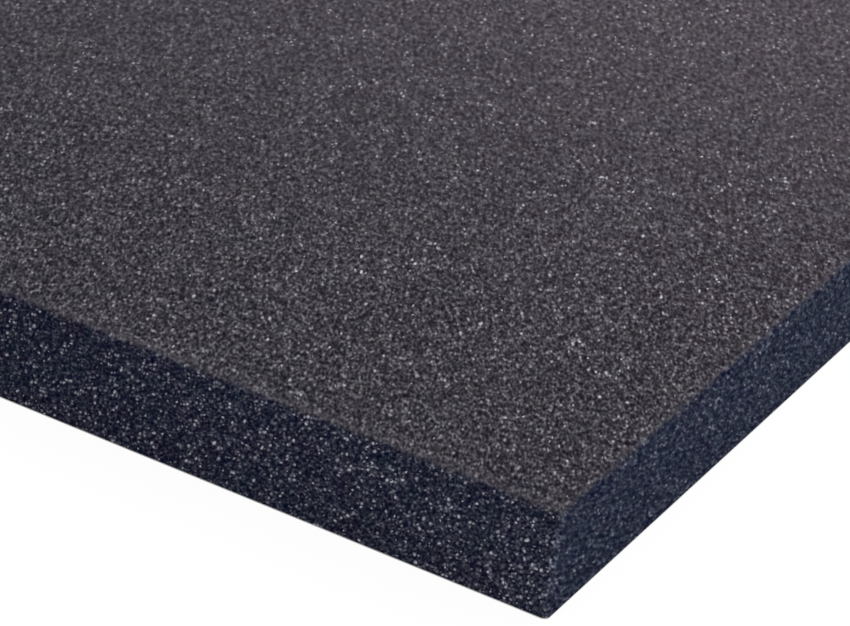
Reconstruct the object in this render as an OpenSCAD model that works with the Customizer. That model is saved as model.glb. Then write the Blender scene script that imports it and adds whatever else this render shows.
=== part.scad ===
// Self-adhesive foam sheet: a square of open-cell foam, its adhesive film and its release liner.
// Millimetres, +Z up. The origin is the centre of the underside, so the liner lies on Z = 0.

/* [Sheet] */
// Length of the sheet, left to right
sheet_l = 300; // [100:5:600]
// Width of the sheet, front to back
sheet_w = 300; // [100:5:600]
// Radius of the upright corners, left by the blade that cuts the stack
corner_r = 1.5; // [0.5:0.1:8]

/* [Foam] */
// Thickness of the foam
foam_t = 25; // [5:0.5:60]
// Radius of the soft arris round the foam's open face
arris_r = 1; // [0.2:0.1:2]

/* [Backing] */
// Thickness of the adhesive film
adhesive_t = 0.1; // [0.05:0.01:0.3]
// Thickness of the release liner
liner_t = 0.15; // [0.05:0.01:0.3]

/* [Hidden] */

// The stack, from the bottom up: each layer starts where the one under it ends.
liner_z = 0;
adhesive_z = liner_z + liner_t;
foam_z = adhesive_z + adhesive_t;

// Smoothness of the round corners and arrises
$fn = 48;

// A rectangle whose four corners are round, with an arc's centre set in by r from both sides.
module rounded_rectangle(l, w, r) {
    for (x = [-1, 1], y = [-1, 1])
        translate([x * (l / 2 - r), y * (w / 2 - r)]) circle(r = r);
    square([l - 2 * r, w], center = true);
    square([l, w - 2 * r], center = true);
}

// One layer of the stack: every layer is cut by the same blade, so all share this outline.
module layer(z, t) {
    translate([0, 0, z]) linear_extrude(t) rounded_rectangle(sheet_l, sheet_w, corner_r);
}

// The foam's upright section across a run of the sheet: square below, soft at its two top corners.
module foam_section(run) {
    translate([0, foam_t - arris_r])
        for (x = [-1, 1])
            translate([x * (run / 2 - arris_r), 0]) circle(r = arris_r);
    translate([-run / 2, 0]) square([run, foam_t - arris_r]);
    translate([arris_r - run / 2, 0]) square([run - 2 * arris_r, foam_t]);
}

// The slab that the outline and both sections leave, so the arris runs round all four sides.
module foam_sheet() {
    color([0.26, 0.25, 0.28])
        intersection() {
            layer(foam_z, foam_t);
            translate([0, 0, foam_z]) rotate([90, 0, 0])
                linear_extrude(sheet_w, center = true) foam_section(sheet_l);
            translate([0, 0, foam_z]) rotate([90, 0, 90])
                linear_extrude(sheet_l, center = true) foam_section(sheet_w);
        }
}

module adhesive_film() {
    color([0.85, 0.84, 0.76]) layer(adhesive_z, adhesive_t);
}

module release_liner() {
    color([0.93, 0.92, 0.88]) layer(liner_z, liner_t);
}

foam_sheet();
adhesive_film();
release_liner();
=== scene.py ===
"""Self-adhesive foam sheet: open-cell foam with torn arrises, over an adhesive film and a release liner.

Laid out as an add-on with one operator for each layer and one for the stage, and run as a script.
"""

import math
from types import SimpleNamespace

import bmesh
import bpy
from mathutils import Matrix, Vector, noise


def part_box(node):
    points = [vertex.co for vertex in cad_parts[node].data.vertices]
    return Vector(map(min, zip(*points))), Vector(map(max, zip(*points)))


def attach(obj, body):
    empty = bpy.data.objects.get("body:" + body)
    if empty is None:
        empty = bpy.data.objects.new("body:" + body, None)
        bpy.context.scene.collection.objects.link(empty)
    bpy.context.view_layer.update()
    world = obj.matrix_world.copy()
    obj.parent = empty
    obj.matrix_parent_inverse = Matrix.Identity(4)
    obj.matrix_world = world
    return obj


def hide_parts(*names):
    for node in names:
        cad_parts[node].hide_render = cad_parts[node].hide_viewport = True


bl_info = {
    "name": "Adhesive Foam Sheet",
    "version": (1, 0, 0),
    "blender": (4, 5, 0),
    "location": "3D View > Sidebar > Foam Sheet",
    "description": "Cuts a self-adhesive foam sheet and finishes its foam, film and liner",
    "category": "Add Mesh",
}

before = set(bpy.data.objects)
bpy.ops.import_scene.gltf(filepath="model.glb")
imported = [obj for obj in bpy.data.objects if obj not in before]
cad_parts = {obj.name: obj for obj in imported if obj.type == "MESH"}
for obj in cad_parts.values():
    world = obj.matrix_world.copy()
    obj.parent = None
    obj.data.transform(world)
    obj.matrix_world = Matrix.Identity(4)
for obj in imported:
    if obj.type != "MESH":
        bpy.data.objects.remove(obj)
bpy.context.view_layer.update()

MM = 0.001

WHITE = (1.0, 1.0, 1.0, 1.0)

# ---------------------------------------------------------------- camera, light and floor

# The camera looks down on the sheet's front right corner through a long lens, held slightly askew.
CAMERA_PLACE = Vector((0.43290, -0.80822, 0.46096))
CAMERA_AZIMUTH = math.radians(25.8688)
CAMERA_ELEVATION = math.radians(28.8535)
CAMERA_ROLL = math.radians(7.7176)
CAMERA_LENS_MM = 177.996
SENSOR_WIDTH_MM = 36.0

# One soft light above and behind the sheet, and even light from all round.
SOFTBOX_PLACE = Vector((0.02, 0.38, 0.38))
SOFTBOX_AIM = Vector((0.05, 0.0, 0.0))
SOFTBOX_SIDE = 0.45
SOFTBOX_POWER = 2.6
WORLD_STRENGTH = 0.55

# Where the floor is seen, a glow makes it white and a darker tone leaves only a faint shadow on it.
FLOOR_HALF_WIDTH = 15.0
FLOOR_SEEN_GLOW = 0.94
FLOOR_SEEN_TONE = (0.12, 0.12, 0.12)

# ---------------------------------------------------------------- the foam's form

# How finely the foam's round corners and soft arrises are faceted.
CORNER_SEGMENTS = 6
ARRIS_SEGMENTS = 4

# How near to a height or to a cut a point has to be to count as on it.
AT_HEIGHT = 1e-6
ON_CUT = 1e-7

# A line of the mesh beside the arris is left whole if it is shorter than this many band steps.
SHORT_LINE = 1.5

# Torn cells: a tooth's length beside a run's, and how a steady part, the runs and the teeth add up.
TOOTH_LENGTH = 0.35
TORN_STEADY = 0.45
TORN_RUN = 0.75
TORN_TOOTH = 0.45
TOOTH_SHIFT = Vector((7.3, 1.9, 4.1))

# The slow waves grow from the foam's foot over this many arris radii, where the film holds it flat.
WAVE_FOOT = 3.0
WAVE_SHIFT = Vector((3.7, 8.2, 5.5))

# ---------------------------------------------------------------- the foam's grain

# The way the foam rose in its mould, along which its cells are drawn out.
RISE_DIRECTION = Vector((0.385, -0.80, 0.46))

# The cells' height is fine grain, which softness takes away, and coarse grain, which softness adds to.
COARSE_SHARE = 0.6
COARSE_SHARE_ADDED = 0.22
COARSE_SCALE = 0.62
COARSE_SHIFT = (0.71, 0.37, 0.13)

# Cell films: how many there are to a cell's width, how wide they are, and what softness adds to that.
FILM_SCALE = 0.72
FILM_WIDTHS = (0.5, 0.85)
FILM_WIDTH_ADDED = 0.4

# ---------------------------------------------------------------- the foam's finish

# Where along the rise the foam goes from soft to crisp, in halves of the sheet's length.
CRISP_SPAN = (-0.4, 1.1)

# Where the sides' colour ends and the open face's is whole, in arris radii. Mottling and cells tear that edge
# by up to about these lengths.
FACE_EDGE = (-1.0, 1.5)
MOTTLING_TEAR = 3.0 * MM
CELL_TEAR = 0.6 * MM

# From here to ARRIS_SHEEN_LIGHT, a pair holds the value where a mask is 0 and the value where it is 1.
# Contrast is how many times the light doubles from a height of 0 to a height of 1.
CONTRAST_SOFT = (6.25, 4.2)
CONTRAST_SMEARED = (1.0, 1.17)
CONTRAST_FILM_SIDE = (1.0, 1.1)
CONTRAST_ARRIS_SHEEN = (1.0, 0.62)

# How rare the bright cell films are, and how brightly their painted glints shine.
RARITY_FILM_SIDE = (10.0, 2.8)
SHINE_SOFT = (1.12, 0.50)
SHINE_FILM_SIDE = (0.65, 1.28)
SHINE_ARRIS_SHEEN = (1.0, 0.35)
SHINE_SMEARED = (1.0, 0.68)

# The painted sheen on the open face beside the arris, by a cut along the rise and by one across it: its
# width, and the light it adds.
ARRIS_SHEEN_WIDTH = (2.8 * MM, 6.0 * MM)
ARRIS_SHEEN_LIGHT = (0.5, 0.55)

# The painted sheen on the upright corners: where it ends, in corner radii, and the light it adds.
CORNER_SHEEN_SPAN = (0.2, 1.6)
CORNER_SHEEN_LIGHT = 0.8

# The softest foam's blur, and that of foam that the blade smeared.
BLUR_SOFT = 0.9
BLUR_SMEARED = 0.4

# The cell films' painted glints come in clusters: the mottling over which they change, and from how much to
# how much.
CLUSTER_SPAN = (0.85, 1.15)
CLUSTER_SHINE = (0.4, 1.6)

# The gloss of a cell film, and the depth of the cells' bump in cell widths.
FILM_COAT = 0.7
CELL_BUMP = 0.3

# The sides' light. Those cut across the rise lose some up to LOW_END_SPAN along the rise, in halves of the
# sheet's length, and some in a strip under the arris, which has a soft foot and a soft head.
SIDE_LIGHT = 1.04
LOW_END_SPAN = (0.87, 1.19)
LOW_END_LOSS = 0.25
STRIP_FOOT = (-6.0 * MM, -3.0 * MM)
STRIP_HEAD = (-2.3 * MM, -1.5 * MM)
STRIP_LOSS = 0.2

# The way along which the open face's deep tint turns warmer, and where that starts and ends, in halves of the
# sheet's length.
WARM_DRIFT_DIRECTION = (0.5, 0.85, 0.0)
WARM_DRIFT_SPAN = (-0.9, 1.1)

# Small patches change light and tint, and wide ones only tint. The pair is for the sides and the open face.
MOTTLE_PATCH = 3.5 * MM
MOTTLE_AMOUNT = 0.15
MOTTLE_TINT = (0.016, 0.008)
CLOUD_PATCH = 14.0 * MM
CLOUD_TINT = (0.006, 0.004, 0.003)

# ---------------------------------------------------------------- the backing's finish

ADHESIVE_PATCH = 9.0 * MM
ADHESIVE_MOTTLE = 0.12
ADHESIVE_ROUGHNESS = 0.25

LINER_PATCH = 5.0 * MM
LINER_MOTTLE = 0.03

# The liner's fibres: how many to the metre, and the parts of their noise that change light and gloss.
FIBRE_SCALE = 900.0
FIBRE_LIGHT_SPAN = (0.35, 0.7)
FIBRE_LIGHT = (0.95, 1.03)
FIBRE_GLOSS_SPAN = (0.3, 0.7)
FIBRE_ROUGHNESS = (0.38, 0.5)
FIBRE_BUMP = 0.15
FIBRE_DEPTH = 0.03 * MM


# ---------------------------------------------------------------- sizes and colours

class FoamSheetSizes(bpy.types.PropertyGroup):
    """Sizes that a user would change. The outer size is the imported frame's own."""

    corner_radius: bpy.props.FloatProperty(
        name="Corner radius",
        description="Radius of the foam's upright corners",
        default=1.5 * MM, min=0.2 * MM, precision=5, unit="LENGTH",
    )
    arris_radius: bpy.props.FloatProperty(
        name="Arris radius",
        description="Radius of the soft arris round the open face",
        default=1.0 * MM, min=0.1 * MM, precision=5, unit="LENGTH",
    )
    grid_step: bpy.props.FloatProperty(
        name="Grid step",
        description="Spacing of the mesh over the open face and the cut sides",
        default=2.0 * MM, min=0.5 * MM, precision=5, unit="LENGTH",
    )
    band_rows: bpy.props.IntProperty(
        name="Band rows",
        description="Rows of fine mesh on each side of the arris",
        default=5, min=1, max=12,
    )
    band_step: bpy.props.FloatProperty(
        name="Band step",
        description="Spacing of the fine mesh beside the arris",
        default=0.4 * MM, min=0.1 * MM, precision=5, unit="LENGTH",
    )
    tear_depth: bpy.props.FloatProperty(
        name="Tear depth",
        description="How far the torn cells set the arris back",
        default=0.45 * MM, min=0.0, precision=5, unit="LENGTH",
    )
    tear_length: bpy.props.FloatProperty(
        name="Tear length",
        description="Usual length of one run of torn cells along the arris",
        default=2.2 * MM, min=0.1 * MM, precision=5, unit="LENGTH",
    )
    ripple_depth: bpy.props.FloatProperty(
        name="Ripple depth",
        description="Depth of the slow waves that slitting leaves in the foam's faces",
        default=0.07 * MM, min=0.0, precision=5, unit="LENGTH",
    )
    ripple_length: bpy.props.FloatProperty(
        name="Ripple length",
        description="Usual distance between two of those waves",
        default=22.0 * MM, min=1.0 * MM, precision=5, unit="LENGTH",
    )
    cell_size: bpy.props.FloatProperty(
        name="Cell size",
        description="Usual width of one foam cell",
        default=0.58 * MM, min=0.1 * MM, precision=5, unit="LENGTH",
    )
    rise_stretch: bpy.props.FloatProperty(
        name="Rise stretch",
        description="How many times longer a cell is along the foam's rise than across it",
        default=6.0, min=1.0, max=8.0,
    )


class FoamSheetColours(bpy.types.PropertyGroup):
    """Colours that a user would change, as linear values."""

    # The open face's colours are lighter and warmer than the sides': partly the foam's own colour, partly
    # painted sheen from the light above.
    open_face: bpy.props.FloatVectorProperty(
        name="Open face",
        description="Foam on the open face, where it is lit",
        default=(0.0465, 0.0446, 0.0491), size=3, min=0.0, max=1.0, subtype="COLOR",
    )
    # Lighter where the cells are soft, away from the end the foam rose towards.
    soft_face: bpy.props.FloatVectorProperty(
        name="Worn open face",
        description="Foam on the open face where its cells are worn soft, where it is lit",
        default=(0.0563, 0.0527, 0.0579), size=3, min=0.0, max=1.0, subtype="COLOR",
    )
    depth_open: bpy.props.FloatVectorProperty(
        name="Open face, deep",
        description="What is left of the light deep in the open face's cells",
        default=(0.0018, 0.0002, 0.007), size=3, min=0.0, max=1.0, subtype="COLOR",
    )
    # The open face's deep tint, warmer towards the back right.
    depth_warmer: bpy.props.FloatVectorProperty(
        name="Faded open face, deep",
        description="The same light where the foam has faded",
        default=(0.0065, 0.0, 0.0074), size=3, min=0.0, max=1.0, subtype="COLOR",
    )
    # The sides' colours are darker than the open face's: partly the foam's own colour, partly painted shade.
    cut_across: bpy.props.FloatVectorProperty(
        name="Cut across",
        description="Foam on the sides cut across its rise",
        default=(0.0260, 0.0267, 0.0330), size=3, min=0.0, max=1.0, subtype="COLOR",
    )
    depth_across: bpy.props.FloatVectorProperty(
        name="Cut across, deep",
        description="What is left of the light deep in those sides' cells",
        default=(0.0, 0.0020, 0.0211), size=3, min=0.0, max=1.0, subtype="COLOR",
    )
    cut_along: bpy.props.FloatVectorProperty(
        name="Cut along",
        description="Foam on the sides cut along its rise",
        default=(0.0335, 0.0376, 0.0469), size=3, min=0.0, max=1.0, subtype="COLOR",
    )
    depth_along: bpy.props.FloatVectorProperty(
        name="Cut along, deep",
        description="What is left of the light deep in those sides' cells",
        default=(0.0, 0.0030, 0.0273), size=3, min=0.0, max=1.0, subtype="COLOR",
    )
    # A cell film's bright colour is a painted glint: it stands for the light that the films reflect.
    film: bpy.props.FloatVectorProperty(
        name="Cell film",
        description="The thin shiny films that close some cells",
        default=(0.66, 0.66, 0.76), size=3, min=0.0, max=1.0, subtype="COLOR",
    )
    adhesive: bpy.props.FloatVectorProperty(
        name="Adhesive",
        description="The adhesive film",
        default=(0.70, 0.70, 0.69), size=3, min=0.0, max=1.0, subtype="COLOR",
    )
    liner: bpy.props.FloatVectorProperty(
        name="Liner",
        description="The release liner's paper",
        default=(0.86, 0.86, 0.86), size=3, min=0.0, max=1.0, subtype="COLOR",
    )
    floor: bpy.props.FloatVectorProperty(
        name="Floor",
        description="The pale floor under the sheet",
        default=(0.80, 0.80, 0.80), size=3, min=0.0, max=1.0, subtype="COLOR",
    )


# ---------------------------------------------------------------- node helpers

def set_inputs(tree, node, values):
    """Links or sets a node's inputs, given by name or index."""
    for key, value in values.items():
        if isinstance(value, bpy.types.NodeSocket):
            tree.links.new(value, node.inputs[key])
        else:
            node.inputs[key].default_value = value


def add_node(tree, kind, values=None, **settings):
    """Adds a shader node, sets its properties and then its inputs."""
    node = tree.nodes.new(kind)
    for name, value in settings.items():
        setattr(node, name, value)
    set_inputs(tree, node, values or {})
    return node


def math_node(tree, operation, first, second=0.0, clamp=False):
    """The result of one Math node."""
    node = add_node(tree, "ShaderNodeMath", {0: first, 1: second}, operation=operation, use_clamp=clamp)
    return node.outputs["Value"]


def product(tree, first, *others):
    """The product of two or more values."""
    for other in others:
        first = math_node(tree, "MULTIPLY", first, other)
    return first


def total(tree, first, *others):
    """The sum of two or more values."""
    for other in others:
        first = math_node(tree, "ADD", first, other)
    return first


def minus(tree, first, second):
    """The first value less the second."""
    return math_node(tree, "SUBTRACT", first, second)


def vector_node(tree, operation, *values, scale=None):
    """The result of one Vector Math node, which is a number for a dot product and a vector for the rest."""
    inputs = dict(enumerate(values))
    if scale is not None:
        inputs["Scale"] = scale
    node = add_node(tree, "ShaderNodeVectorMath", inputs, operation=operation)
    return node.outputs["Value" if operation == "DOT_PRODUCT" else "Vector"]


def ramp_between(tree, value, low, high, to_low=0.0, to_high=1.0):
    """Value taken smoothly from low..high to to_low..to_high."""
    node = add_node(
        tree, "ShaderNodeMapRange",
        {"Value": value, "From Min": low, "From Max": high, "To Min": to_low, "To Max": to_high},
        interpolation_type="SMOOTHSTEP",
    )
    return node.outputs["Result"]


def by_mask(tree, mask, pair):
    """The first of a pair where a mask is 0, the second where it is 1, and smoothly from one to the other."""
    return ramp_between(tree, mask, 0.0, 1.0, *pair)


def mix_colour(tree, factor, first, second):
    """Two colours, each a socket or three numbers, mixed by a factor."""
    first, second = (
        colour if isinstance(colour, bpy.types.NodeSocket) else (*colour, 1.0) for colour in (first, second))
    node = add_node(tree, "ShaderNodeMix", {"Factor": factor, "A": first, "B": second}, data_type="RGBA")
    return node.outputs["Result"]


def object_place(tree):
    """The place on the piece, in metres."""
    return add_node(tree, "ShaderNodeTexCoord").outputs["Object"]


def bumped(tree, height, strength, depth):
    """The surface's normal, turned by a height that stands for a depth."""
    node = add_node(tree, "ShaderNodeBump", {"Height": height, "Strength": strength, "Distance": depth})
    return node.outputs["Normal"]


def new_group(name, inputs, outputs):
    """A shader node group, the sockets that its input node gives, and its output node."""
    group = bpy.data.node_groups.new(name, "ShaderNodeTree")
    for label, kind, default in inputs:
        socket = group.interface.new_socket(name=label, in_out="INPUT", socket_type=kind)
        if default is not None:
            socket.default_value = default
    for label, kind in outputs:
        group.interface.new_socket(name=label, in_out="OUTPUT", socket_type=kind)
    return group, group.nodes.new("NodeGroupInput").outputs, group.nodes.new("NodeGroupOutput")


def place_group(tree, group, values):
    """The outputs of a node that uses a group, with its inputs set."""
    return add_node(tree, "ShaderNodeGroup", values, node_tree=group).outputs


def new_material(name):
    """A material with a Principled BSDF. Returns the material, its tree and that shader."""
    material = bpy.data.materials.new(name)
    material.use_nodes = True
    return material, material.node_tree, material.node_tree.nodes["Principled BSDF"]


# ---------------------------------------------------------------- shared effects

def even_noise(tree, vector, scale):
    """A smooth noise about 0, and its colour.

    It is the sum of the colour's three channels, each about a half, because one alone runs into ridges.
    """
    grain = add_node(tree, "ShaderNodeTexNoise", {"Vector": vector, "Scale": scale, "Detail": 0.0})
    colour = grain.outputs["Color"]
    share = 1.0 / math.sqrt(3.0)
    three = vector_node(tree, "DOT_PRODUCT", colour, (share, share, share))
    return minus(tree, three, 1.5 * share), colour


def foam_cells_group():
    """Open foam cells: light walls round dark pores, and here and there a film that still closes a cell.

    Light is the cells' painted light and shade: 1 half-way up a wall, less in a pore and more on a crest.
    Film is 1 at the middle of the brightest films, whose brightness is a painted glint. A higher Film Rarity
    leaves fewer bright ones among the dim.
    """
    name = "Foam cells"
    if name in bpy.data.node_groups:
        return bpy.data.node_groups[name]
    group, given, result = new_group(
        name,
        [
            ("Vector", "NodeSocketVector", None),
            ("Cell Size", "NodeSocketFloat", 0.6 * MM),
            ("Contrast", "NodeSocketFloat", 5.0),
            ("Softness", "NodeSocketFloat", 0.0),
            ("Film Rarity", "NodeSocketFloat", 5.0),
        ],
        [
            ("Light", "NodeSocketFloat"),
            ("Film", "NodeSocketFloat"),
            ("Height", "NodeSocketFloat"),
        ],
    )
    vector, cell_size, softness = given["Vector"], given["Cell Size"], given["Softness"]
    scale = math_node(group, "DIVIDE", 1.0, cell_size)
    fine, _ = even_noise(group, vector, scale)
    shifted = vector_node(group, "ADD", vector, COARSE_SHIFT)
    coarse, drift = even_noise(group, shifted, product(group, scale, COARSE_SCALE))
    fine = product(group, fine, minus(group, 1.0, softness))
    coarse = product(
        group, coarse, total(group, product(group, softness, COARSE_SHARE_ADDED), COARSE_SHARE))
    height = total(group, fine, coarse)
    light = math_node(group, "POWER", 2.0, product(group, height, given["Contrast"]))

    # Each film is a soft disc of painted glint with its own brightness and width, a little out of round.
    warped = vector_node(group, "MULTIPLY_ADD", drift, cell_size, vector)
    films = add_node(
        group, "ShaderNodeTexVoronoi", {"Vector": warped, "Scale": product(group, scale, FILM_SCALE)},
        voronoi_dimensions="3D", feature="F1",
    )
    chance = add_node(group, "ShaderNodeSeparateColor", {"Color": films.outputs["Color"]})
    width = by_mask(group, chance.outputs["Blue"], FILM_WIDTHS)
    spread = total(group, product(group, softness, FILM_WIDTH_ADDED), 1.0)
    disc = ramp_between(group, films.outputs["Distance"], 0.0, product(group, width, spread), 1.0, 0.0)
    bright = math_node(group, "POWER", chance.outputs["Green"], given["Film Rarity"])
    film = product(group, bright, product(group, disc, disc))
    set_inputs(group, result, {"Light": light, "Film": film, "Height": height})
    return group


def mottling_group():
    """Slow, cloudy unevenness: a Factor about 1, and a Tint about 0 whose three parts swing apart."""
    name = "Slow mottling"
    if name in bpy.data.node_groups:
        return bpy.data.node_groups[name]
    group, given, result = new_group(
        name,
        [
            ("Vector", "NodeSocketVector", None),
            ("Patch Size", "NodeSocketFloat", 10 * MM),
            ("Amount", "NodeSocketFloat", 0.1),
        ],
        [("Factor", "NodeSocketFloat"), ("Tint", "NodeSocketVector")],
    )
    scale = math_node(group, "DIVIDE", 1.0, given["Patch Size"])
    cloud = add_node(
        group, "ShaderNodeTexNoise",
        {"Vector": given["Vector"], "Scale": scale, "Detail": 3.0, "Roughness": 0.55},
    )
    # The cloud seldom leaves a quarter to three quarters, which four times over is the whole Amount each way.
    swing = product(group, minus(group, cloud.outputs["Fac"], 0.5), 4.0, given["Amount"])
    tint = vector_node(group, "SUBTRACT", cloud.outputs["Color"], (0.5, 0.5, 0.5))
    set_inputs(group, result, {"Factor": total(group, swing, 1.0), "Tint": tint})
    return group


# ---------------------------------------------------------------- materials

def span(pair, length):
    """A pair of shares of a length, as lengths."""
    return [length * share for share in pair]


def foam_masks(tree, sizes, place, mottle):
    """Where a point lies on the foam: two lengths, and masks from 0 to 1.

    Beyond is how much further the point is in from the sides than down from the open face, so it is above 0
    on the open face and below 0 on a side. Risen is how far it is along the foam's rise. A film side is one
    cut across the rise, which shows more cell films, and a smeared one is cut along it.
    """
    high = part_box("foam_sheet")[1]
    axes = add_node(tree, "ShaderNodeSeparateXYZ", {"Vector": place}).outputs
    inward_x = minus(tree, high.x, math_node(tree, "ABSOLUTE", axes["X"]))
    inward_y = minus(tree, high.y, math_node(tree, "ABSOLUTE", axes["Y"]))
    inward = math_node(tree, "MINIMUM", inward_x, inward_y)
    drop = minus(tree, high.z, axes["Z"])
    torn = product(tree, minus(tree, mottle, 1.0), MOTTLING_TEAR)
    beyond = total(tree, minus(tree, inward, drop), torn)
    on_side = ramp_between(tree, beyond, -sizes.arris_radius, sizes.arris_radius, 1.0, 0.0)

    # The front and back are cut across the rise, and the left and right along it.
    cut_across = ramp_between(
        tree, minus(tree, inward_x, inward_y), -sizes.corner_radius, sizes.corner_radius)
    # A band beside the arris gets painted sheen, with fainter cells and glints, and the upright corners get
    # painted sheen too.
    sheen_width = by_mask(tree, cut_across, ARRIS_SHEEN_WIDTH)
    arris_sheen_band = product(
        tree, ramp_between(tree, beyond, 0.0, sheen_width, 1.0, 0.0), minus(tree, 1.0, on_side))
    corner_sheen = ramp_between(
        tree, math_node(tree, "MAXIMUM", inward_x, inward_y),
        *span(CORNER_SHEEN_SPAN, sizes.corner_radius), 1.0, 0.0)

    # The cells are crisp at the end the foam rose towards, and softer and fainter away from it.
    risen = vector_node(tree, "DOT_PRODUCT", place, RISE_DIRECTION)
    softness = ramp_between(tree, risen, *span(CRISP_SPAN, high.x), 1.0, 0.0)
    warm_drift = vector_node(tree, "DOT_PRODUCT", place, WARM_DRIFT_DIRECTION)
    return SimpleNamespace(
        beyond=beyond,
        risen=risen,
        on_side=on_side,
        cut_across=cut_across,
        on_film_side=product(tree, cut_across, on_side),
        smeared=product(tree, on_side, minus(tree, 1.0, cut_across)),
        arris_sheen_band=arris_sheen_band,
        corner_sheen=corner_sheen,
        softness=softness,
        warmer=ramp_between(tree, warm_drift, *span(WARM_DRIFT_SPAN, high.x)),
    )


def side_shading(tree, masks):
    """How brightly the sides are lit, beside the open face's 1."""
    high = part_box("foam_sheet")[1]
    low_end = ramp_between(tree, masks.risen, *span(LOW_END_SPAN, high.x), LOW_END_LOSS, 0.0)
    strip = product(
        tree, ramp_between(tree, masks.beyond, *STRIP_FOOT),
        ramp_between(tree, masks.beyond, *STRIP_HEAD, STRIP_LOSS, 0.0))
    return minus(tree, SIDE_LIGHT, product(tree, masks.cut_across, total(tree, low_end, strip)))


def foam_cells(tree, sizes, masks, along_rise):
    """The foam's cells, with the contrast and softness of each place. Returns the group's outputs."""
    contrast = product(
        tree,
        by_mask(tree, masks.softness, CONTRAST_SOFT),
        by_mask(tree, masks.smeared, CONTRAST_SMEARED),
        by_mask(tree, masks.on_film_side, CONTRAST_FILM_SIDE),
        by_mask(tree, masks.arris_sheen_band, CONTRAST_ARRIS_SHEEN),
    )
    blur = math_node(
        tree, "MAXIMUM",
        product(tree, masks.softness, BLUR_SOFT), product(tree, masks.smeared, BLUR_SMEARED))
    return place_group(
        tree, foam_cells_group(),
        {
            "Vector": along_rise,
            "Cell Size": sizes.cell_size,
            "Contrast": contrast,
            "Softness": blur,
            "Film Rarity": by_mask(tree, masks.on_film_side, RARITY_FILM_SIDE),
        },
    )


def painted_film_glint(tree, masks, cells, mottle, side_light):
    """How strongly a cell film's painted glint shows at each place, from 0 to 1."""
    shine = product(
        tree,
        by_mask(tree, masks.softness, SHINE_SOFT),
        by_mask(tree, masks.on_film_side, SHINE_FILM_SIDE),
        by_mask(tree, masks.arris_sheen_band, SHINE_ARRIS_SHEEN),
        by_mask(tree, masks.on_side, (1.0, side_light)),
        by_mask(tree, masks.smeared, SHINE_SMEARED),
        ramp_between(tree, mottle, *CLUSTER_SPAN, *CLUSTER_SHINE),
    )
    return math_node(tree, "MULTIPLY", cells["Film"], shine, clamp=True)


def foam_walls(tree, colours, masks, cells, open_face, side_light):
    """The colour of the cells' walls, as their light falls on them."""
    # The sides are darker by painted shade as well as by their own colour, and then by the side light.
    side = mix_colour(tree, masks.cut_across, colours.cut_along, colours.cut_across)
    side = vector_node(tree, "SCALE", side, scale=side_light)
    face = mix_colour(tree, masks.softness, colours.open_face, colours.soft_face)
    walls = mix_colour(tree, open_face, side, face)
    # Painted sheen lightens the upright corners and the open face beside the arris.
    painted_sheen = total(
        tree, product(tree, masks.corner_sheen, CORNER_SHEEN_LIGHT),
        product(tree, masks.arris_sheen_band, by_mask(tree, masks.cut_across, ARRIS_SHEEN_LIGHT)), 1.0)
    return vector_node(tree, "SCALE", walls, scale=product(tree, cells["Light"], painted_sheen))


def foam_depths(tree, colours, masks, mottling, place, open_face):
    """The colour that is left deep in the cells, with its slow changes of tint."""
    side = mix_colour(tree, masks.cut_across, colours.depth_along, colours.depth_across)
    # The open face's deep tint turns warmer towards the back right.
    face = mix_colour(tree, masks.warmer, colours.depth_open, colours.depth_warmer)
    depths = mix_colour(tree, open_face, side, face)
    clouds = place_group(tree, mottling_group(), {"Vector": place, "Patch Size": CLOUD_PATCH})
    depths = vector_node(tree, "MULTIPLY_ADD", clouds["Tint"], CLOUD_TINT, depths)
    mottled = vector_node(tree, "SCALE", mottling["Tint"], scale=by_mask(tree, open_face, MOTTLE_TINT))
    return vector_node(tree, "ADD", depths, mottled)


def foam_material(sizes, colours):
    """Charcoal open-cell foam, warmer and lighter on its open face, partly from painted sheen, and bluer and
    darker on its blade-cut sides, partly from painted shade.
    """
    material, tree, shader = new_material("Charcoal open-cell foam")
    place = object_place(tree)
    along_rise = add_node(
        tree, "ShaderNodeMapping",
        {
            "Vector": place,
            "Rotation": RISE_DIRECTION.to_track_quat("Z", "Y").to_euler(),
            "Scale": (1.0, 1.0, sizes.rise_stretch),
        },
        vector_type="TEXTURE",
    ).outputs["Vector"]
    mottling = place_group(
        tree, mottling_group(),
        {"Vector": along_rise, "Patch Size": MOTTLE_PATCH, "Amount": MOTTLE_AMOUNT})
    masks = foam_masks(tree, sizes, place, mottling["Factor"])
    cells = foam_cells(tree, sizes, masks, along_rise)
    ragged = total(tree, masks.beyond, product(tree, cells["Height"], CELL_TEAR))
    open_face = ramp_between(tree, ragged, *span(FACE_EDGE, sizes.arris_radius))
    side_light = side_shading(tree, masks)
    lit = vector_node(
        tree, "ADD",
        foam_walls(tree, colours, masks, cells, open_face, side_light),
        foam_depths(tree, colours, masks, mottling, place, open_face))
    # The cell films' painted glints go into the base colour.
    painted_glint = painted_film_glint(tree, masks, cells, mottling["Factor"], side_light)
    set_inputs(tree, shader, {
        "Base Color": mix_colour(tree, painted_glint, lit, colours.film),
        "Roughness": 0.9,
        "Specular IOR Level": 0.02,
        "Coat Weight": product(tree, painted_glint, FILM_COAT),
        "Coat Roughness": 0.35,
        "Normal": bumped(tree, cells["Height"], CELL_BUMP, sizes.cell_size),
    })
    return material


def adhesive_material(colours):
    """Clear, faintly straw-coloured acrylic adhesive, slightly uneven in thickness and gloss."""
    material, tree, shader = new_material("Acrylic adhesive film")
    mottle = place_group(
        tree, mottling_group(),
        {"Vector": object_place(tree), "Patch Size": ADHESIVE_PATCH, "Amount": ADHESIVE_MOTTLE})["Factor"]
    set_inputs(tree, shader, {
        "Base Color": vector_node(tree, "SCALE", tuple(colours.adhesive), scale=mottle),
        "Roughness": product(tree, mottle, ADHESIVE_ROUGHNESS),
    })
    return material


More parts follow.
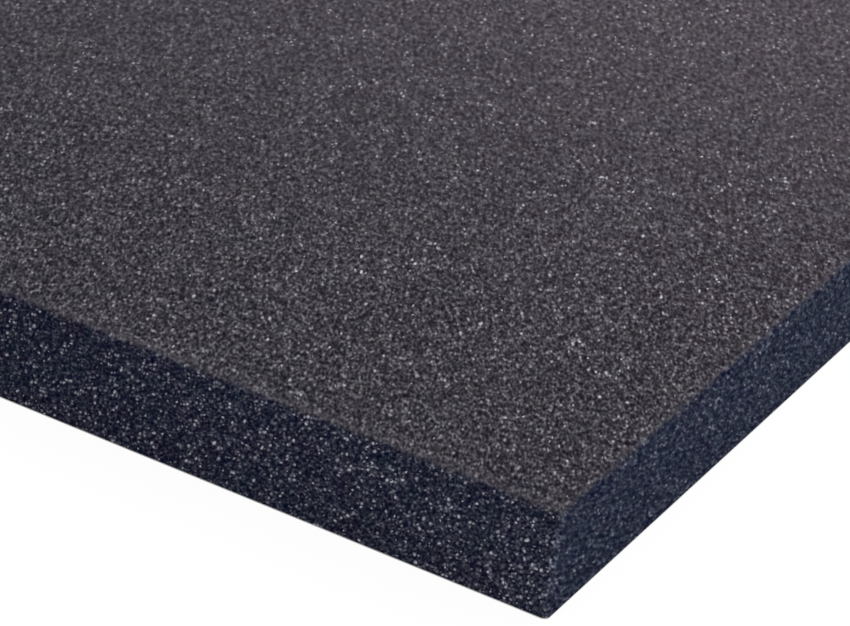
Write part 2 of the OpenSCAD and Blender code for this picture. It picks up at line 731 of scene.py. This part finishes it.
def liner_material(colours):
    """Off-white siliconised paper: faint fibres under a satin coat."""
    material, tree, shader = new_material("Siliconised release paper")
    place = object_place(tree)
    mottle = place_group(
        tree, mottling_group(),
        {"Vector": place, "Patch Size": LINER_PATCH, "Amount": LINER_MOTTLE})["Factor"]
    fibres = add_node(
        tree, "ShaderNodeTexNoise",
        {
            "Vector": place,
            "Scale": FIBRE_SCALE,
            "Detail": 4.0,
            "Roughness": 0.6,
            "Distortion": 1.5,
        },
    ).outputs["Fac"]
    tone = product(tree, ramp_between(tree, fibres, *FIBRE_LIGHT_SPAN, *FIBRE_LIGHT), mottle)
    set_inputs(tree, shader, {
        "Base Color": vector_node(tree, "SCALE", tuple(colours.liner), scale=tone),
        "Roughness": ramp_between(tree, fibres, *FIBRE_GLOSS_SPAN, *FIBRE_ROUGHNESS),
        "Normal": bumped(tree, fibres, FIBRE_BUMP, FIBRE_DEPTH),
    })
    return material


def shows_background(tree):
    """1 for a ray that shows the background: from the camera, in a reflection or through something clear."""
    path = add_node(tree, "ShaderNodeLightPath").outputs
    seen = math_node(tree, "MAXIMUM", path["Is Camera Ray"], path["Is Glossy Ray"])
    return math_node(tree, "MAXIMUM", seen, path["Is Transmission Ray"])


def floor_material(colours):
    """A pale floor that shows as white and keeps the sheet's shadow."""
    material, tree, shader = new_material("Pale floor")
    seen = shows_background(tree)
    set_inputs(tree, shader, {
        "Base Color": mix_colour(tree, seen, colours.floor, FLOOR_SEEN_TONE),
        "Roughness": 0.9,
        "Specular IOR Level": 0.0,
        "Emission Color": WHITE,
        "Emission Strength": product(tree, seen, FLOOR_SEEN_GLOW),
    })
    return material


# ---------------------------------------------------------------- the foam's mesh

def edges_where(bm, test):
    """The edges for which test(edge) holds."""
    return [edge for edge in bm.edges if test(edge)]


def slice_at(bm, point, normal):
    """Cuts every face along a plane, so that mesh lines run there."""
    bmesh.ops.bisect_plane(
        bm, geom=[*bm.verts, *bm.edges, *bm.faces], dist=ON_CUT, plane_co=point, plane_no=normal)


def spaced(low, high, step):
    """Places from low to high, both left out, about a step apart."""
    count = max(1, round((high - low) / step))
    return [low + (high - low) * k / count for k in range(1, count)]


def foam_blank(bm, low, high, sizes):
    """A block with round upright corners and a soft arris round its open face."""
    bmesh.ops.create_cube(bm, size=1.0)
    bmesh.ops.scale(bm, vec=high - low, verts=bm.verts)
    bmesh.ops.translate(bm, vec=(low + high) / 2, verts=bm.verts)
    upright = edges_where(bm, lambda e: abs(e.verts[0].co.z - e.verts[1].co.z) > sizes.arris_radius)
    bmesh.ops.bevel(
        bm, geom=upright, offset=sizes.corner_radius, offset_type="OFFSET", segments=CORNER_SEGMENTS,
        profile=0.5, affect="EDGES", clamp_overlap=True, material=-1)
    rim = edges_where(bm, lambda e: min(v.co.z for v in e.verts) > high.z - AT_HEIGHT)
    bmesh.ops.bevel(
        bm, geom=rim, offset=sizes.arris_radius, offset_type="OFFSET", segments=ARRIS_SEGMENTS,
        profile=0.5, affect="EDGES", clamp_overlap=True, material=-1)


def foam_grid(bm, low, high, sizes):
    """Lays an even grid over the open face and sides, with finer rows beside the arris."""
    inset = max(sizes.arris_radius, sizes.corner_radius)
    band = sizes.band_rows * sizes.band_step
    rows = [inset + sizes.band_step * k for k in range(sizes.band_rows + 1)]
    for axis in (0, 1):
        normal = Vector([float(k == axis) for k in range(3)])
        places = [low[axis] + r for r in rows] + [high[axis] - r for r in rows]
        places += spaced(low[axis] + inset + band, high[axis] - inset - band, sizes.grid_step)
        for place in places:
            slice_at(bm, normal * place, normal)
    under = high.z - sizes.arris_radius
    levels = [under - sizes.band_step * k for k in range(1, sizes.band_rows + 1)]
    levels += spaced(low.z, under - band, sizes.grid_step)
    for level in levels:
        slice_at(bm, Vector((0, 0, level)), Vector((0, 0, 1)))


def arris_distance(co, low, high, radius):
    """How far a point lies from the soft arris."""
    inward = min(co.x - low.x, high.x - co.x, co.y - low.y, high.y - co.y)
    return max(0.0, max(inward, high.z - co.z) - radius)


def ladder_band(bm, low, high, sizes):
    """Splits the lines that run along the arris, so that the band's mesh is as fine along it as across.

    It reaches half a step past the band's last row.
    """
    reach = (sizes.band_rows + 0.5) * sizes.band_step + max(0.0, sizes.corner_radius - sizes.arris_radius)

    def beside_arris(edge):
        if edge.calc_length() < SHORT_LINE * sizes.band_step:
            return False
        return all(arris_distance(v.co, low, high, sizes.arris_radius) <= reach for v in edge.verts)

    cuts = max(1, round(sizes.grid_step / sizes.band_step) - 1)
    bmesh.ops.subdivide_edges(bm, edges=edges_where(bm, beside_arris), cuts=cuts, use_grid_fill=True)


def tear_and_ripple(bm, low, high, sizes):
    """Sets the arris back where cells are torn, and lets the faces wander slightly, always inwards."""
    bm.normal_update()
    reach = sizes.band_rows * sizes.band_step
    moves = []
    for v in bm.verts:
        if v.co.z < low.z + AT_HEIGHT:
            continue
        near = max(0.0, 1.0 - arris_distance(v.co, low, high, sizes.arris_radius) / reach)
        run = noise.noise(v.co / sizes.tear_length)
        tooth = noise.noise(v.co / (TOOTH_LENGTH * sizes.tear_length) + TOOTH_SHIFT)
        torn = near * near * max(0.0, TORN_STEADY + TORN_RUN * run + TORN_TOOTH * tooth)
        wave = 0.5 + 0.5 * noise.noise(v.co / sizes.ripple_length + WAVE_SHIFT)
        foot = min(1.0, (v.co.z - low.z) / (WAVE_FOOT * sizes.arris_radius))
        moves.append((v, -v.normal * (sizes.tear_depth * torn + foot * sizes.ripple_depth * wave)))
    for v, move in moves:
        v.co += move


def close_underside(bm, low):
    """Joins the underside's faces into one with sharp edges. The film covers it, so nothing there shows."""
    bottom = low.z + AT_HEIGHT
    under = [f for f in bm.faces if all(v.co.z < bottom for v in f.verts)]
    bmesh.ops.dissolve_faces(bm, faces=under, use_verts=False)
    for edge in bm.edges:
        edge.smooth = not all(v.co.z < bottom for v in edge.verts)


def build_foam(sizes):
    """The foam as one closed mesh, where its CAD solid is."""
    low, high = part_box("foam_sheet")
    bm = bmesh.new()
    foam_blank(bm, low, high, sizes)
    foam_grid(bm, low, high, sizes)
    ladder_band(bm, low, high, sizes)
    tear_and_ripple(bm, low, high, sizes)
    close_underside(bm, low)
    for face in bm.faces:
        face.smooth = True
    bmesh.ops.recalc_face_normals(bm, faces=bm.faces)
    mesh = bpy.data.meshes.new("foam_block")
    bm.to_mesh(mesh)
    bm.free()
    foam = bpy.data.objects.new("foam_block", mesh)
    bpy.context.scene.collection.objects.link(foam)
    return foam


# ---------------------------------------------------------------- operators

class FOAMSHEET_OT_cut_foam(bpy.types.Operator):
    """Cut the foam block and give it its open cells"""

    bl_idname = "foam_sheet.cut_foam"
    bl_label = "Cut Foam"

    def execute(self, context):
        sizes, colours = context.scene.foam_sheet_sizes, context.scene.foam_sheet_colours
        foam = build_foam(sizes)
        foam.data.materials.append(foam_material(sizes, colours))
        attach(foam, "root")
        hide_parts("foam_sheet")
        return {"FINISHED"}


def refinish(node, material):
    """Gives a CAD node a new material in every one of its slots."""
    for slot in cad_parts[node].material_slots:
        slot.material = material


class FOAMSHEET_OT_coat_adhesive(bpy.types.Operator):
    """Finish the adhesive film under the foam"""

    bl_idname = "foam_sheet.coat_adhesive"
    bl_label = "Coat Adhesive"

    def execute(self, context):
        refinish("adhesive_film", adhesive_material(context.scene.foam_sheet_colours))
        return {"FINISHED"}


class FOAMSHEET_OT_lay_liner(bpy.types.Operator):
    """Finish the release liner under the adhesive"""

    bl_idname = "foam_sheet.lay_liner"
    bl_label = "Lay Liner"

    def execute(self, context):
        refinish("release_liner", liner_material(context.scene.foam_sheet_colours))
        return {"FINISHED"}


def add_softbox():
    """A square soft light that points at the sheet."""
    lamp = bpy.data.lights.new("key softbox", "AREA")
    lamp.shape = "SQUARE"
    lamp.size = SOFTBOX_SIDE
    lamp.energy = SOFTBOX_POWER
    box = bpy.data.objects.new("key softbox", lamp)
    box.location = SOFTBOX_PLACE
    box.rotation_euler = (SOFTBOX_AIM - SOFTBOX_PLACE).to_track_quat("-Z", "Y").to_euler()
    box.visible_camera = False
    bpy.context.scene.collection.objects.link(box)


def add_world():
    """Pale, even light from all round, which shows as plain white."""
    world = bpy.data.worlds.new("Studio")
    world.use_nodes = True
    tree = world.node_tree
    strength = by_mask(tree, shows_background(tree), (WORLD_STRENGTH, 1.0))
    set_inputs(tree, tree.nodes["Background"], {"Color": WHITE, "Strength": strength})
    bpy.context.scene.world = world


def add_floor(colours):
    """A wide flat floor under the sheet."""
    bm = bmesh.new()
    bmesh.ops.create_grid(bm, x_segments=1, y_segments=1, size=FLOOR_HALF_WIDTH)
    mesh = bpy.data.meshes.new("floor")
    bm.to_mesh(mesh)
    bm.free()
    floor = bpy.data.objects.new("floor", mesh)
    floor.data.materials.append(floor_material(colours))
    bpy.context.scene.collection.objects.link(floor)
    return floor


def add_camera():
    """The camera, from its place and its three angles."""
    sine_a, cosine_a = math.sin(CAMERA_AZIMUTH), math.cos(CAMERA_AZIMUTH)
    sine_e, cosine_e = math.sin(CAMERA_ELEVATION), math.cos(CAMERA_ELEVATION)
    back = Vector((sine_a * cosine_e, -cosine_a * cosine_e, sine_e))
    level = Vector((cosine_a, sine_a, 0.0))
    upward = back.cross(level)
    right = math.cos(CAMERA_ROLL) * level + math.sin(CAMERA_ROLL) * upward
    top = math.cos(CAMERA_ROLL) * upward - math.sin(CAMERA_ROLL) * level
    data = bpy.data.cameras.new("Camera")
    data.lens = CAMERA_LENS_MM
    data.sensor_width = SENSOR_WIDTH_MM
    camera = bpy.data.objects.new("Camera", data)
    camera.matrix_world = Matrix.Translation(CAMERA_PLACE) @ Matrix((right, top, back)).transposed().to_4x4()
    bpy.context.scene.collection.objects.link(camera)
    bpy.context.scene.camera = camera


class FOAMSHEET_OT_set_stage(bpy.types.Operator):
    """Set the floor, the soft lights and the camera"""

    bl_idname = "foam_sheet.set_stage"
    bl_label = "Set Stage"

    def execute(self, context):
        floor = add_floor(context.scene.foam_sheet_colours)
        add_softbox()
        add_world()
        add_camera()
        context.scene.view_settings.view_transform = "Standard"
        return {"FINISHED"}


class FOAMSHEET_PT_sidebar(bpy.types.Panel):
    """The sheet's operators, sizes and colours"""

    bl_idname = "FOAMSHEET_PT_sidebar"
    bl_label = "Foam Sheet"
    bl_space_type = "VIEW_3D"
    bl_region_type = "UI"
    bl_category = "Foam Sheet"

    def draw(self, context):
        layout = self.layout
        for operator in OPERATORS:
            layout.operator(operator.bl_idname)
        for group in (context.scene.foam_sheet_sizes, context.scene.foam_sheet_colours):
            box = layout.box()
            for name in group.__annotations__:
                box.prop(group, name)


OPERATORS = (
    FOAMSHEET_OT_cut_foam,
    FOAMSHEET_OT_coat_adhesive,
    FOAMSHEET_OT_lay_liner,
    FOAMSHEET_OT_set_stage,
)
CLASSES = (FoamSheetSizes, FoamSheetColours, *OPERATORS, FOAMSHEET_PT_sidebar)


def register():
    """Registers the classes, and gives each scene its sizes and colours."""
    for item in CLASSES:
        bpy.utils.register_class(item)
    bpy.types.Scene.foam_sheet_sizes = bpy.props.PointerProperty(type=FoamSheetSizes)
    bpy.types.Scene.foam_sheet_colours = bpy.props.PointerProperty(type=FoamSheetColours)


def unregister():
    """Takes back all that register did."""
    del bpy.types.Scene.foam_sheet_colours
    del bpy.types.Scene.foam_sheet_sizes
    for item in reversed(CLASSES):
        bpy.utils.unregister_class(item)


def main():
    """Builds the sheet and its stage."""
    register()
    bpy.ops.foam_sheet.cut_foam()
    bpy.ops.foam_sheet.coat_adhesive()
    bpy.ops.foam_sheet.lay_liner()
    bpy.ops.foam_sheet.set_stage()


if __name__ == "__main__":
    main()
